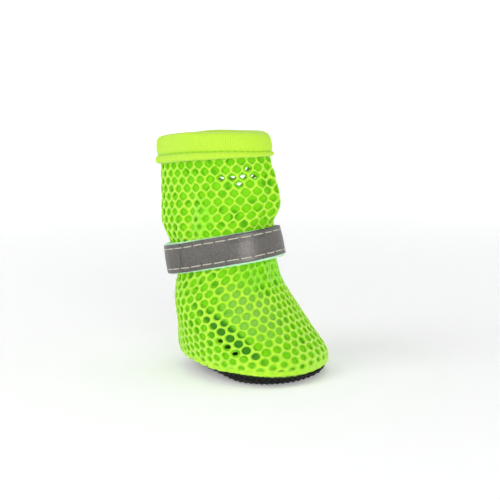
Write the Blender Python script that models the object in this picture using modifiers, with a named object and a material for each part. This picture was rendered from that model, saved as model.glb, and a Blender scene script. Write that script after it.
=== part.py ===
"""A small soft dog boot: a mesh upper over an egg-shaped sole, a folded rib-knit
cuff, a reflective strap on a hook-and-loop backing, and two tapes beside the heel seam.

Metres, +Z up. The toe points to +X, +Y is the boot's left side, and the origin is on
the floor under the middle of the foot. The boot stands empty on its flat sole.
"""

from collections import namedtuple
import math

import bpy
from mathutils import Vector

MM = 0.001

# Driving dimensions. Lengths run along X, widths along Y.
BOOT_HEIGHT = 88.0 * MM
INSTEP_HEIGHT = 38.0 * MM
ANKLE_LENGTH = 41.4 * MM
ANKLE_WIDTH = 30.8 * MM
COLLAR_LENGTH = 47.4 * MM
COLLAR_WIDTH = 21.5 * MM
MESH_WALL = 1.2 * MM
SEAM_ALLOWANCE = 4.2 * MM
SEAM_INSET = 0.8 * MM

SOLE_LENGTH = 54.4 * MM
SOLE_WIDTH = 45.4 * MM
SOLE_SHIFT = 0.8 * MM
SOLE_THICKNESS = 1.6 * MM
SOLE_EDGE_TURN = 3.6 * MM
HEEL_EDGE_TURN = 11.0 * MM
SIDE_CURL = 3.0 * MM
TOE_SPRING = 1.4 * MM
HEEL_SPRING = 3.8 * MM
EDGE_BEND = 1.6
SOLE_EGG = 0.30
INSOLE_THICKNESS = 1.2 * MM

# How far the mesh stands out past the sole's edge: at the hem, the foot's ends and the ball.
HEM_OVERHANG = 1.2 * MM
HEM_ROLL = 0.5 * MM
END_OVERHANG = 2.0 * MM
BALL_OVERHANG = 2.3 * MM

CUFF_THICKNESS = 1.2 * MM
CUFF_BAND = 8.0 * MM
CUFF_GROOVE = 0.45 * MM
CUFF_HEM = 3.2 * MM
CUFF_HEM_FLARE = 0.45 * MM
CUFF_INNER_LEG = 7.0 * MM

STRAP_WIDTH = 10.4 * MM
STRAP_END_EASE = 1.2 * MM
STRAP_BEND = 2.3
STRAP_THICKNESS = 0.5 * MM
STRAP_LAP = 15.0 * MM
STRAP_STEP = 8.0 * MM
BACKING_MARGIN = 0.4 * MM
BACKING_DROP = 0.3 * MM
BACKING_THICKNESS = 0.8 * MM

HEEL_TAPE_WIDTH = 5.8 * MM
HEEL_TAPE_SLOT = 2.4 * MM
HEEL_TAPE_THICKNESS = 0.6 * MM
HEEL_TAPE_TOP_GAP = 1.5 * MM

CLEARANCE = 0.3 * MM

# Points round each section, and the height of one row of faces on the upper.
AROUND = 56
UPPER_ROW = 4.0 * MM
FULL_TURN = 2.0 * math.pi

FOOT_LENGTH = SOLE_LENGTH + 2 * END_OVERHANG
FOOT_WIDTH = SOLE_WIDTH + 2 * BALL_OVERHANG
FOOT_BASE = SOLE_THICKNESS + SIDE_CURL + CLEARANCE
COLLAR_EDGE = BOOT_HEIGHT - CUFF_THICKNESS - CLEARANCE
BACKING_WIDTH = STRAP_WIDTH + 2 * BACKING_MARGIN

# Sections of the upper's outer face, from the sole up. rise runs from 0 at the sole's side
# to 1 at the instep and 2 at the collar edge. length and width are shares of the sizes that
# the row names, and centre is a share of the foot's length. lean is how fast the section
# climbs towards the toe, and egg moves its widest place forward.
Section = namedtuple("Section", "name size rise centre length width egg lean")
SECTIONS = (
    Section("low foot", "foot", 0.100, 0.004, 0.990, 0.980, 0.30, -0.02),
    Section("ball", "foot", 0.277, -0.042, 0.885, 1.000, 0.24, 0.02),
    Section("vamp", "foot", 0.530, -0.102, 0.772, 0.960, 0.15, 0.07),
    Section("instep", "foot", 0.770, -0.152, 0.698, 0.830, 0.06, 0.15),
    Section("strap foot", "ankle", 1.000, -0.168, 0.935, 1.060, 0.03, 0.21),
    Section("waist", "ankle", 1.140, -0.180, 0.950, 1.000, 0.00, 0.215),
    Section("strap top", "ankle", 1.270, -0.195, 0.985, 0.930, 0.00, 0.21),
    Section("low shaft", "collar", 1.420, -0.210, 1.035, 1.200, 0.00, 0.17),
    Section("mid shaft", "collar", 1.600, -0.226, 1.025, 1.130, 0.00, 0.15),
    Section("under cuff", "collar", 1.820, -0.254, 0.970, 1.030, 0.00, 0.10),
    Section("collar edge", "collar", 2.000, -0.272, 0.930, 0.940, 0.00, 0.06),
)
SIZES = {
    "foot": (FOOT_LENGTH, FOOT_WIDTH),
    "ankle": (ANKLE_LENGTH, ANKLE_WIDTH),
    "collar": (COLLAR_LENGTH, COLLAR_WIDTH),
}


def section_height(row):
    """Height of a section's middle above the floor."""
    foot_part = min(row.rise, 1.0) * (INSTEP_HEIGHT - FOOT_BASE)
    shaft_part = max(row.rise - 1.0, 0.0) * (COLLAR_EDGE - INSTEP_HEIGHT)
    return FOOT_BASE + foot_part + shaft_part


def section_values(row):
    """Centre, half length, half width, egg and lean of one section."""
    length, width = SIZES[row.size]
    return (
        row.centre * FOOT_LENGTH,
        row.length * length / 2,
        row.width * width / 2,
        row.egg,
        row.lean,
    )


HEM_HEIGHT = FOOT_BASE + HEM_ROLL
HEM_VALUES = (
    SOLE_SHIFT,
    SOLE_LENGTH / 2 + HEM_OVERHANG,
    SOLE_WIDTH / 2 + HEM_OVERHANG,
    SOLE_EGG,
    (TOE_SPRING - HEEL_SPRING) / SOLE_LENGTH,
)
KNOTS = [(HEM_HEIGHT, HEM_VALUES)]
KNOTS += [(section_height(row), section_values(row)) for row in SECTIONS]
STRAP_HEIGHT = next(section_height(row) for row in SECTIONS if row.name == "waist")


def slope_at(index, column):
    """Slope of a section value at one knot, for the smooth curve between knots."""
    low = max(index - 1, 0)
    high = min(index + 1, len(KNOTS) - 1)
    return (KNOTS[high][1][column] - KNOTS[low][1][column]) / (KNOTS[high][0] - KNOTS[low][0])


def section_at(height):
    """Section values at any height, on a smooth curve through the table's rows."""
    index = 0
    while index < len(KNOTS) - 2 and KNOTS[index + 1][0] < height:
        index += 1
    start, end = KNOTS[index], KNOTS[index + 1]
    span = end[0] - start[0]
    u = (height - start[0]) / span
    values = []
    for column in range(len(start[1])):
        p0, p1 = start[1][column], end[1][column]
        m0, m1 = slope_at(index, column) * span, slope_at(index + 1, column) * span
        values.append(
            (2 * u**3 - 3 * u**2 + 1) * p0
            + (u**3 - 2 * u**2 + u) * m0
            + (3 * u**2 - 2 * u**3) * p1
            + (u**3 - u**2) * m1
        )
    return values


def egg_angle(angle, egg):
    """Angle that moves the widest place of an oval towards the toe."""
    return angle + egg * math.sin(angle)


def upper_point(height, angle, out=0.0):
    """Point at a distance out from the upper's outer face. Angle 0 is the toe, 90 degrees the left."""
    centre, half_length, half_width, egg, lean = section_at(height)
    along = (half_length + out) * math.cos(angle)
    across = (half_width + out) * math.sin(egg_angle(angle, egg))
    return Vector((centre + along, across, height + lean * along))


def edge_curl(angle):
    """How far the sole's edge turns up: by its side, toe or heel value."""
    side = math.sin(angle) ** 2
    end = TOE_SPRING if math.cos(angle) > 0 else HEEL_SPRING
    return SIDE_CURL * side + end * (1 - side)


def edge_turn(angle):
    """Width of the turned-up edge, which grows from the toe to the heel."""
    heelward = ((1 - math.cos(angle)) / 2) ** 2
    return SOLE_EDGE_TURN + (HEEL_EDGE_TURN - SOLE_EDGE_TURN) * heelward


def sole_point(angle, inset, lift):
    """Point over the sole's plan, inset from its edge, lift above its under face."""
    x = SOLE_SHIFT + (SOLE_LENGTH / 2 - inset) * math.cos(angle)
    y = (SOLE_WIDTH / 2 - inset) * math.sin(egg_angle(angle, SOLE_EGG))
    turned = max(1 - inset / edge_turn(angle), 0.0) ** EDGE_BEND
    return Vector((x, y, edge_curl(angle) * turned + lift))


def angles(count=AROUND):
    """Evenly spaced angles round a closed section."""
    return [FULL_TURN * index / count for index in range(count)]


def make_object(name, verts, faces, colour, roughness):
    """Mesh object with its own material, shaded smooth except at sharp edges."""
    mesh = bpy.data.meshes.new(name)
    mesh.from_pydata([tuple(vert) for vert in verts], [], faces)
    mesh.update()
    mesh.shade_smooth()
    mesh.set_sharp_from_angle(angle=math.radians(50))
    material = bpy.data.materials.new(name)
    material.use_nodes = True
    shader = material.node_tree.nodes["Principled BSDF"]
    shader.inputs["Base Color"].default_value = (*colour, 1.0)
    shader.inputs["Roughness"].default_value = roughness
    shader.inputs["Metallic"].default_value = 0.0
    mesh.materials.append(material)
    obj = bpy.data.objects.new(name, mesh)
    boot.objects.link(obj)
    return obj


def loft(rings, close_rings=True, close_loft=False, caps=False):
    """Vertices and quads between like rings, with the first ring's normal side outward."""
    verts = [point for ring in rings for point in ring]
    count = len(rings[0])
    last_ring = len(rings) if close_loft else len(rings) - 1
    last_step = count if close_rings else count - 1
    faces = []
    for ring in range(last_ring):
        above = (ring + 1) % len(rings)
        for step in range(last_step):
            beside = (step + 1) % count
            faces.append(
                (ring * count + step, ring * count + beside, above * count + beside, above * count + step)
            )
    if caps:
        faces.append(tuple(reversed(range(count))))
        faces.append(tuple((len(rings) - 1) * count + step for step in range(count)))
    return verts, faces


def shell(name, rings, thickness, colour, roughness, close_rings=True):
    """Cloth of real thickness under an open lofted face."""
    obj = make_object(name, *loft(rings, close_rings), colour, roughness)
    solidify = obj.modifiers.new("cloth thickness", "SOLIDIFY")
    solidify.thickness = thickness
    solidify.offset = -1.0
    solidify.use_even_offset = True
    return obj


def build_upper():
    """Mesh upper: a flange on the sole, the foot, the waist and the shaft, open above and below."""
    rings = []
    lift = SOLE_THICKNESS + CLEARANCE
    for share in (1.0, 0.67, 0.33, 0.0):
        inset = SEAM_INSET + share * SEAM_ALLOWANCE
        rings.append([sole_point(angle, inset, lift) for angle in angles()])
    rows = math.ceil((COLLAR_EDGE - HEM_HEIGHT) / UPPER_ROW)
    for row in range(rows + 1):
        height = HEM_HEIGHT + (COLLAR_EDGE - HEM_HEIGHT) * row / rows
        rings.append([upper_point(height, angle) for angle in angles()])
    return shell("upper", rings, MESH_WALL, (0.48, 0.92, 0.03), 0.75)


def build_sole():
    """Textile sole: flat under heel and forefoot, with its edge turned up all round."""
    top = SOLE_THICKNESS
    profile = (
        (1.0, 0.0),
        (0.65, 0.0),
        (0.3, 0.0),
        (0.07, 0.12 * top),
        (0.0, 0.45 * top),
        (0.05, 0.82 * top),
        (0.2, top),
        (0.6, top),
        (1.0, top),
    )
    rings = [
        [sole_point(angle, share * edge_turn(angle), lift) for angle in angles()] for share, lift in profile
    ]
    return make_object("sole", *loft(rings, caps=True), (0.012, 0.011, 0.012), 0.7)


def build_insole():
    """Liner that lies on the sole inside the upper's flange."""
    edge = SEAM_INSET + SEAM_ALLOWANCE + 2 * CLEARANCE
    base = SOLE_THICKNESS + CLEARANCE
    rounding = 0.3 * INSOLE_THICKNESS
    middle = 0.5 * (edge + HEEL_EDGE_TURN)
    profile = (
        (HEEL_EDGE_TURN, base),
        (middle, base),
        (edge, base),
        (edge, base + INSOLE_THICKNESS - rounding),
        (edge + rounding, base + INSOLE_THICKNESS),
        (middle, base + INSOLE_THICKNESS),
        (HEEL_EDGE_TURN, base + INSOLE_THICKNESS),
    )
    rings = [[sole_point(angle, inset, lift) for angle in angles()] for inset, lift in profile]
    return make_object("insole", *loft(rings, caps=True), (0.05, 0.05, 0.05), 0.9)


def build_cuff():
    """Rib-knit band folded over the collar edge, stitched above its rolled lower hem."""
    outer = CLEARANCE + CUFF_THICKNESS
    inner = -MESH_WALL - CLEARANCE
    stitch = COLLAR_EDGE + CLEARANCE + CUFF_THICKNESS - CUFF_BAND
    hem = stitch - CUFF_HEM
    fold = COLLAR_EDGE + CLEARANCE
    bead = outer + CUFF_HEM_FLARE
    profile = (
        (COLLAR_EDGE - CUFF_INNER_LEG, inner),
        (COLLAR_EDGE - CUFF_INNER_LEG, inner - CUFF_THICKNESS),
        (fold, inner - CUFF_THICKNESS),
        (fold + 0.75 * CUFF_THICKNESS, inner - 0.45 * CUFF_THICKNESS),
        (fold + CUFF_THICKNESS, -MESH_WALL / 2),
        (fold + 0.75 * CUFF_THICKNESS, CLEARANCE + 0.45 * CUFF_THICKNESS),
        (fold, outer),
        (stitch + 2 * CUFF_GROOVE, outer),
        (stitch, outer - CUFF_GROOVE),
        (stitch - 0.18 * CUFF_HEM, bead - 0.3 * CUFF_HEM_FLARE),
        (stitch - 0.5 * CUFF_HEM, bead),
        (hem + 0.2 * CUFF_HEM, bead - 0.3 * CUFF_HEM_FLARE),
        (hem, CLEARANCE + 0.6 * CUFF_THICKNESS),
        (hem, CLEARANCE),
        (fold, CLEARANCE),
        (fold, inner),
    )
    rings = []
    for height, out in reversed(profile):
        on_upper = min(height, COLLAR_EDGE)
        above = Vector((0.0, 0.0, height - on_upper))
        rings.append([upper_point(on_upper, angle, out) + above for angle in angles()])
    return make_object("cuff", *loft(rings, close_loft=True), (0.62, 1.0, 0.12), 0.85)


def strap_point(height, angle, out):
    """Point of the strap's ring. Its ends stand off the waist, and its faces lie on it."""
    centre, half_length, _, _, lean = section_at(STRAP_HEIGHT)
    half_width = section_at(height)[2]
    bend = 2.0 / STRAP_BEND
    cosine, sine = math.cos(angle), math.sin(angle)
    along = (half_length + STRAP_END_EASE + out) * math.copysign(abs(cosine) ** bend, cosine)
    across = (half_width + CLEARANCE + out) * math.copysign(abs(sine) ** bend, sine)
    tipped = centre + (STRAP_HEIGHT - height) * lean
    return Vector((tipped + along, across, height + lean * along))


def build_strap_backing():
    """Hook-and-loop tape round the waist, a little wider than the strap and set lower."""
    low = STRAP_HEIGHT - BACKING_WIDTH / 2 - BACKING_DROP
    high = low + BACKING_WIDTH
    middle = (low + high) / 2
    profile = (
        (low, 0.0),
        (middle, 0.0),
        (high, 0.0),
        (high, BACKING_THICKNESS),
        (middle, BACKING_THICKNESS),
        (low, BACKING_THICKNESS),
    )
    rings = [[strap_point(height, angle, out) for angle in angles()] for height, out in reversed(profile)]
    return make_object("strap_backing", *loft(rings, close_loft=True), (0.42, 0.85, 0.55), 0.9)


def build_strap():
    """Reflective tape round the backing, with its end lapped over its start on the left side."""
    seat = BACKING_THICKNESS + CLEARANCE
    lapped = STRAP_THICKNESS + CLEARANCE
    girth = math.pi * (ANKLE_LENGTH + ANKLE_WIDTH) / 2
    lap_angle = FULL_TURN * STRAP_LAP / girth
    step_angle = FULL_TURN * STRAP_STEP / girth
    start = math.radians(90) - lap_angle / 2
    stations = AROUND + 8
    sweep = FULL_TURN + lap_angle
    low = STRAP_HEIGHT - STRAP_WIDTH / 2
    rings = []
    for index in range(stations + 1):
        turned = sweep * index / stations
        climb = min(max((turned - FULL_TURN + step_angle) / step_angle, 0.0), 1.0)
        raised = seat + lapped * climb * climb * (3 - 2 * climb)
        corners = (
            (low, raised),
            (low + STRAP_WIDTH / 2, raised),
            (low + STRAP_WIDTH, raised),
            (low + STRAP_WIDTH, raised + STRAP_THICKNESS),
            (low + STRAP_WIDTH / 2, raised + STRAP_THICKNESS),
            (low, raised + STRAP_THICKNESS),
        )
        rings.append([strap_point(height, start + turned, out) for height, out in corners])
    return make_object("strap", *loft(rings, caps=True), (0.17, 0.155, 0.16), 0.4)


def build_heel_tape(name, side):
    """Knit tape that covers one side of the heel seam, from the sole's edge to the strap."""
    _, half_length, _, _, lean = section_at(STRAP_HEIGHT)
    low = HEM_HEIGHT
    high = STRAP_HEIGHT - lean * half_length - BACKING_WIDTH / 2 - HEEL_TAPE_TOP_GAP
    rows, columns = 12, 5
    rings = []
    for row in range(rows):
        height = low + (high - low) * row / (rows - 1)
        _, _, half_width, egg, _ = section_at(height)
        radius = half_width * (1 - egg)
        rings.append([])
        for column in range(columns):
            off = HEEL_TAPE_SLOT / 2 + HEEL_TAPE_WIDTH * column / (columns - 1)
            angle = math.pi - side * math.asin(min(off / radius, 0.9))
            rings[-1].append(upper_point(height, angle, CLEARANCE + HEEL_TAPE_THICKNESS))
    if side > 0:
        rings = [list(reversed(ring)) for ring in rings]
    return shell(name, rings, HEEL_TAPE_THICKNESS, (0.42, 0.80, 0.03), 0.85, close_rings=False)


for old in list(bpy.data.objects):
    bpy.data.objects.remove(old, do_unlink=True)

boot = bpy.data.collections.new("dog_boot")
bpy.context.scene.collection.children.link(boot)

build_upper()
build_sole()
build_insole()
build_cuff()
build_strap_backing()
build_strap()
build_heel_tape("heel_tape_left", 1)
build_heel_tape("heel_tape_right", -1)
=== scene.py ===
import math

import bmesh
import bpy
import numpy as np
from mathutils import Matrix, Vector


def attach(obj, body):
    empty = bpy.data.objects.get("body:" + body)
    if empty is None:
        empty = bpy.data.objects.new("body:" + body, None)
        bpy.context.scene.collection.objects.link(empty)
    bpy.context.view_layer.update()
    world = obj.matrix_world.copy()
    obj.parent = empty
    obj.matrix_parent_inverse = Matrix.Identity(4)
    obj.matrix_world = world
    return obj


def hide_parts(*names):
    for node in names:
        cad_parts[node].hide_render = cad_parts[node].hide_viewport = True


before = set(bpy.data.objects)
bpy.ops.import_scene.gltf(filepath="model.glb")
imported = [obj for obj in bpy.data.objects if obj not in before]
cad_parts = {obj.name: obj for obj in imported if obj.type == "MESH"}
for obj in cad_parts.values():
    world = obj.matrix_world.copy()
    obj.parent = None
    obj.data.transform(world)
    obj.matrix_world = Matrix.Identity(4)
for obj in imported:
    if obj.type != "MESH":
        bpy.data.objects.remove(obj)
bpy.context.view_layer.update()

# ----------------------------------------------------------------------------------------
# Upper. A real one is cut from lime polyester air mesh, a thick knit with large round holes
# over a finer ground. It is closed behind the heel, gathered by the strap and sewn to the
# sole. Lengths here are millimetres, the toe points to +X, and angle 0 is the toe.

# Height, centre, half length, half width, egg and lean of the upper's sections.
UPPER_SECTIONS = np.array((
    (5.40, 0.80, 28.40, 23.90, 0.30, -0.044),
    (8.21, 0.23, 28.91, 24.50, 0.30, -0.020),
    (14.07, -2.45, 25.84, 25.00, 0.24, 0.020),
    (22.44, -5.96, 22.54, 24.00, 0.15, 0.070),
    (30.39, -8.88, 20.38, 20.75, 0.06, 0.150),
    (38.00, -9.81, 19.35, 16.32, 0.03, 0.210),
    (44.79, -10.51, 19.67, 15.40, 0.00, 0.215),
    (51.10, -11.39, 20.39, 14.32, 0.00, 0.210),
    (58.37, -12.26, 24.53, 12.90, 0.00, 0.170),
    (67.10, -13.20, 24.29, 12.15, 0.00, 0.150),
    (77.77, -14.83, 22.99, 11.07, 0.00, 0.100),
    (86.50, -15.89, 22.04, 10.11, 0.00, 0.060),
))
HEM = 5.4
STRAP_MIDDLE = 44.79
SHAFT_TOP = 80.0
COLLAR_EDGE = 86.5
MM = 0.001

# Creases: side of the boot, angle in degrees, height, length, width, tilt and depth.
# A negative depth is a trough. Tilt is in degrees from upright, towards the toe.
CREASES = (
    ("near", 104, 57.0, 8.0, 2.0, 2, -1.2),
    ("near", 93, 57.5, 8.5, 2.6, 2, 0.9),
    ("near", 118, 58.0, 8.0, 3.0, 0, 0.6),
    ("near", 62, 55.0, 5.0, 2.2, -14, -0.5),
    ("near", 18, 62.0, 14.0, 1.6, 8, -0.9),
    ("near", 30, 60.0, 12.0, 1.8, 12, 0.5),
    ("near", 74, 69.0, 9.0, 7.0, 0, 0.4),
    ("near", 26, 37.0, 6.0, 1.4, -12, -0.8),
    ("near", 40, 36.0, 6.0, 1.8, -18, 0.5),
    ("near", 14, 35.0, 7.0, 1.4, -8, 0.6),
    ("near", 100, 34.0, 6.0, 3.0, 10, -0.5),
    ("far", 124, 56.0, 10.0, 2.2, 2, -1.0),
    ("far", 112, 57.0, 9.0, 2.6, 4, 0.6),
    ("far", 24, 61.0, 15.0, 1.7, 8, -0.8),
    ("far", 36, 35.0, 7.0, 1.7, -14, -0.7),
    ("far", 52, 35.0, 6.0, 1.8, -14, 0.5),
    ("far", 100, 34.0, 6.0, 3.0, 8, -0.5),
    ("both", 0, 33.0, 6.0, 1.5, 0, -1.0),
    ("both", 0, 62.0, 14.0, 2.0, 0, 0.6),
    ("both", 162, 51.5, 7.0, 8.0, 0, 0.9),
)
CREASE_RADIUS = 19.0
PUCKER_DEPTH, PUCKERS_BELOW, PUCKERS_ABOVE = 0.35, 14.0, 16.0
HEEL_HANG = 0.8


def section(height):
    """Centre, half length, half width, egg and lean at any height, on a smooth curve."""
    heights, values = UPPER_SECTIONS[:, 0], UPPER_SECTIONS[:, 1:]
    before = np.maximum(np.arange(len(heights)) - 1, 0)
    after = np.minimum(np.arange(len(heights)) + 1, len(heights) - 1)
    slopes = (values[after] - values[before]) / (heights[after] - heights[before])[:, None]
    height = np.clip(np.asarray(height, float), heights[0], heights[-1])
    row = np.clip(np.searchsorted(heights, height) - 1, 0, len(heights) - 2)
    span = (heights[row + 1] - heights[row])[..., None]
    u = (height - heights[row])[..., None] / span
    mixed = (
        (2 * u**3 - 3 * u**2 + 1) * values[row]
        + (u**3 - 2 * u**2 + u) * slopes[row] * span
        + (3 * u**2 - 2 * u**3) * values[row + 1]
        + (u**3 - u**2) * slopes[row + 1] * span
    )
    return [mixed[..., column] for column in range(5)]


def from_toe(angle):
    """Angle from the toe to either side, from 0 to pi."""
    return np.abs(np.arctan2(np.sin(angle), np.cos(angle)))


def smooth_upper(angle, height):
    """Point of the upper's outer face before its creases. Its edge hangs lower at the heel."""
    centre, half_length, half_width, egg, lean = section(height)
    along = half_length * np.cos(angle)
    across = half_width * np.sin(angle + egg * np.sin(angle))
    heel = np.clip((from_toe(angle) - 1.2) / 0.5, 0, 1)
    near_edge = np.clip((14.0 - height) / 8.6, 0, 1)
    hang = HEEL_HANG * heel * heel * (3 - 2 * heel) * near_edge ** 1.4
    return np.stack([centre + along, across, height + lean * along - hang], axis=-1)


def crease_depth(angle, height):
    """How far the creases raise or sink the cloth."""
    turned = np.arctan2(np.sin(angle), np.cos(angle))
    depth = np.zeros(np.broadcast(angle, height).shape)
    for side, where, middle, length, width, tilt, raised in CREASES:
        for sign, name in ((-1, "near"), (1, "far")):
            if side not in (name, "both") or (where == 0 and sign < 0):
                continue
            off = turned - sign * math.radians(where)
            across = np.arctan2(np.sin(off), np.cos(off)) * CREASE_RADIUS * -sign
            upward = height - middle
            lean = math.radians(tilt)
            side_step = across * math.cos(lean) - upward * math.sin(lean)
            up_step = upward * math.cos(lean) + across * math.sin(lean)
            depth = depth + raised * np.exp(-((side_step / width) ** 2) - (up_step / length) ** 2)
    # The strap gathers the cloth in fine puckers that die out below and above it.
    below = np.clip((STRAP_MIDDLE - height) / PUCKERS_BELOW, 0, 1)
    above = np.clip((height - STRAP_MIDDLE) / PUCKERS_ABOVE, 0, 1)
    front = np.exp(-((np.abs(turned) / 0.9) ** 2))
    pucker = np.where(height < STRAP_MIDDLE, (1 - below) ** 2, 0.5 * (1 - above) ** 2)
    waves = np.sin(19 * turned + 0.5 * np.sin(5 * turned))
    return depth + PUCKER_DEPTH * pucker * (0.25 + front) * waves


def upper_cloth(angle, height, out=0.0):
    """Point at a distance out from the creased upper."""
    angle, height, out = np.broadcast_arrays(
        np.asarray(angle, float), np.asarray(height, float), np.asarray(out, float)
    )
    step = 0.002
    round_it = smooth_upper(angle + step, height) - smooth_upper(angle - step, height)
    up_it = smooth_upper(angle, height + step) - smooth_upper(angle, height - step)
    normal = np.cross(round_it, up_it)
    normal /= np.maximum(np.linalg.norm(normal, axis=-1, keepdims=True), 1e-9)
    return smooth_upper(angle, height) + normal * (out + crease_depth(angle, height))[..., None]


def net_places(around, pitch, row_gap, climb, lowest, highest):
    """How a lattice of holes lies on the upper. Rows are planes that climb towards the toe.
    Columns keep their pitch on the sides and crowd at the toe and heel where the boot narrows.
    Returns a function from lattice column and row to angle and height, and the row count."""
    per_column, row_step = 8, 0.25
    crowded, beyond, boot_length = 4.5, 32, 60
    turn = np.linspace(-math.pi, 0.0, 241)
    heights = np.linspace(lowest - beyond, highest + beyond, 420)
    angle, height = np.meshgrid(turn, heights)
    face = smooth_upper(angle, height)
    plane = face[..., 2] - climb * face[..., 0]
    reach = climb * boot_length
    first = lowest - reach
    rows = int((highest - lowest + 1.5 * reach) / row_gap) + 2
    fine = np.arange(0, rows + 0.01, row_step)
    columns = np.linspace(0, around / 2, around * per_column // 2 + 1)
    crowd = np.exp(-((columns / crowded) ** 2)) + np.exp(-(((around / 2 - columns) / crowded) ** 2))
    angle_table, height_table = [], []
    for row in fine:
        level = first + row * row_gap
        there = np.array([np.interp(level, plane[:, i], heights) for i in range(len(turn))])
        curve = smooth_upper(turn, there)
        lengths = np.concatenate([[0], np.cumsum(np.linalg.norm(np.diff(curve, axis=0), axis=1))])
        spare = (around / 2 - lengths[-1] / pitch) / (crowd.sum() / per_column)
        width = 1 - min(max(spare, -0.3), 0.72) * crowd
        share = np.concatenate([[0], np.cumsum((width[1:] + width[:-1]) / 2)])
        at = share / share[-1] * lengths[-1]
        angle_table.append(np.interp(at, lengths, turn))
        height_table.append(np.interp(angle_table[-1], turn, there))
    angle_table, height_table = np.array(angle_table), np.array(height_table)

    def place(column, row):
        column = np.mod(column, around)
        mirrored = column > around / 2
        side = np.where(mirrored, around - column, column) * per_column
        level = np.clip(np.asarray(row, float) / row_step, 0, len(fine) - 1.001)
        i, j = np.minimum(side.astype(int), len(columns) - 2), level.astype(int)
        a, b = side - i, level - j

        def mix(table):
            low = table[j, i] * (1 - a) + table[j, i + 1] * a
            high = table[j + 1, i] * (1 - a) + table[j + 1, i + 1] * a
            return low * (1 - b) + high * b

        angle = mix(angle_table)
        return np.where(mirrored, -angle, angle), np.clip(mix(height_table), lowest, highest)

    return place, rows


def make_piece(name, verts, faces, dents=None):
    """Mesh piece from points in millimetres, with like points joined and smooth shading."""
    mesh = bpy.data.meshes.new(name)
    mesh.from_pydata([tuple(float(c) * MM for c in vert) for vert in verts], [], faces)
    if dents is not None:
        layer = mesh.attributes.new("dent", "FLOAT", "POINT")
        layer.data.foreach_set("value", np.asarray(dents, np.float32))
    shape = bmesh.new()
    shape.from_mesh(mesh)
    bmesh.ops.remove_doubles(shape, verts=shape.verts, dist=2e-6)
    bmesh.ops.recalc_face_normals(shape, faces=shape.faces)
    shape.to_mesh(mesh)
    shape.free()
    mesh.shade_smooth()
    piece = bpy.data.objects.new(name, mesh)
    bpy.context.scene.collection.objects.link(piece)
    return piece


def unevenness(column, row, seed):
    """Number from 0 to 1 that differs from hole to hole and is the same each run."""
    spun = np.sin(column * 12.9898 + row * 78.233 + seed * 37.719) * 43758.5453
    return spun - np.floor(spun)


def off_centre(most, column, row, seed):
    """Small shift of a hole from its place in the lattice."""
    return most * (np.array((unevenness(column, row, seed), unevenness(column, row, seed + 1))) - 0.5)


def bridge(faces, start, rings, count):
    """Adds the faces between like rings of points that follow each other in a mesh."""
    for ring in range(rings - 1):
        here, there = start + ring * count, start + (ring + 1) * count
        for step in range(count):
            beside = (step + 1) % count
            faces.append((here + step, here + beside, there + beside, there + step))


def hole_ring(squareness, upright, steps=18):
    """Edge of a lattice cell and of its hole, round their middle, in columns and rows."""
    point, shoulder, round_hole = 1 - upright, upright, (0.5, 0.64)
    corners = (
        (0, point), (0.5, shoulder), (0.5, -shoulder),
        (0, -point), (-0.5, -shoulder), (-0.5, shoulder),
    )
    edge = []
    for index in range(6):
        (x0, y0), (x1, y1) = corners[index], corners[(index + 1) % 6]
        for part in range(steps // 6):
            share = part * 6 / steps
            edge.append((x0 + (x1 - x0) * share, y0 + (y1 - y0) * share))
    edge = np.array(edge)
    reach = np.linalg.norm(edge / round_hole, axis=1, keepdims=True)
    rim = edge / reach * (1 - squareness) + edge * squareness
    return edge, rim


def hole_size(open_share, angle, height, chance):
    """Size of a hole: less at the toe, heel and hem, and where the cloth is gathered."""
    stretch = 0.88 + 0.16 * max(math.cos(abs(float(angle)) - 1.05), 0.0)
    near_hem = min(max((float(height) - 2.0) / 9.0, 0.7), 1.0)
    x, y, z = smooth_upper(angle, height)
    beside_ankle = -(((x + 14.0) / 5.0) ** 2) - ((z - 56.0) / 8.0) ** 2
    on_instep = -(((x - 10.0) / 6.0) ** 2) - ((z - 38.0) / 6.0) ** 2
    gathered = math.exp(beside_ankle) if y < 0 else 0.0
    gathered += 0.7 * math.exp(on_instep)
    return open_share * stretch * near_hem * (0.90 + 0.20 * chance) * (1 - 0.4 * gathered)


def build_net(name, places, around, low, high, squareness, upright, open_share):
    """Knit net: rounded strands round each hole, with the cloth's real thickness."""
    place, rows = places
    edge, rim = hole_ring(squareness, upright)
    steps = len(edge)
    # Share of the way in from the cell's edge to the hole, rise, and how bright a crest it is: painted
    # highlight on the crest, falling to painted shade at the hole.
    profile = (
        (0.0, 0.0, 1.0), (0.42, -0.05, 0.72), (0.82, -0.26, 0.2),
        (1.0, -0.62, 0.0), (0.6, -1.0, 0.3), (0.0, -1.12, 0.5),
    )
    deepest = -profile[-1][1]
    verts, faces, crests = [], [], []
    for row in range(1, rows):
        for number in range(around):
            column = number + 0.5 * (row % 2)
            angle, height = place(np.array(column), np.array(float(row)))
            if height <= low or height >= high:
                _, heights = place(column + edge[:, 0], row + edge[:, 1])
                if heights.max() <= low or heights.min() >= high:
                    continue
            size = hole_size(open_share, angle, height, unevenness(number, row, 1))
            shift = off_centre(0.11, number, row, 2)
            start = len(verts)
            for share, rise, crest in profile:
                ring = edge * (1 - share) + (rim * size + shift) * share
                angles, heights = place(column + ring[:, 0], row + ring[:, 1])
                lumps = np.sin(130 * angles + 3.1 * heights) * np.sin(5.7 * heights - 41 * angles)
                out = rise * NET_THICKNESS / deepest + 0.10 * lumps
                verts.extend(upper_cloth(angles, heights, out))
                # A painted highlight makes the yarn palest at the cell's corners, where three strands
                # meet.
                crests.extend(crest * (1.0 if step % 3 == 0 else 0.7) for step in range(steps))
            bridge(faces, start, len(profile), steps)
    return make_piece(name, verts, faces, crests)


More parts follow.
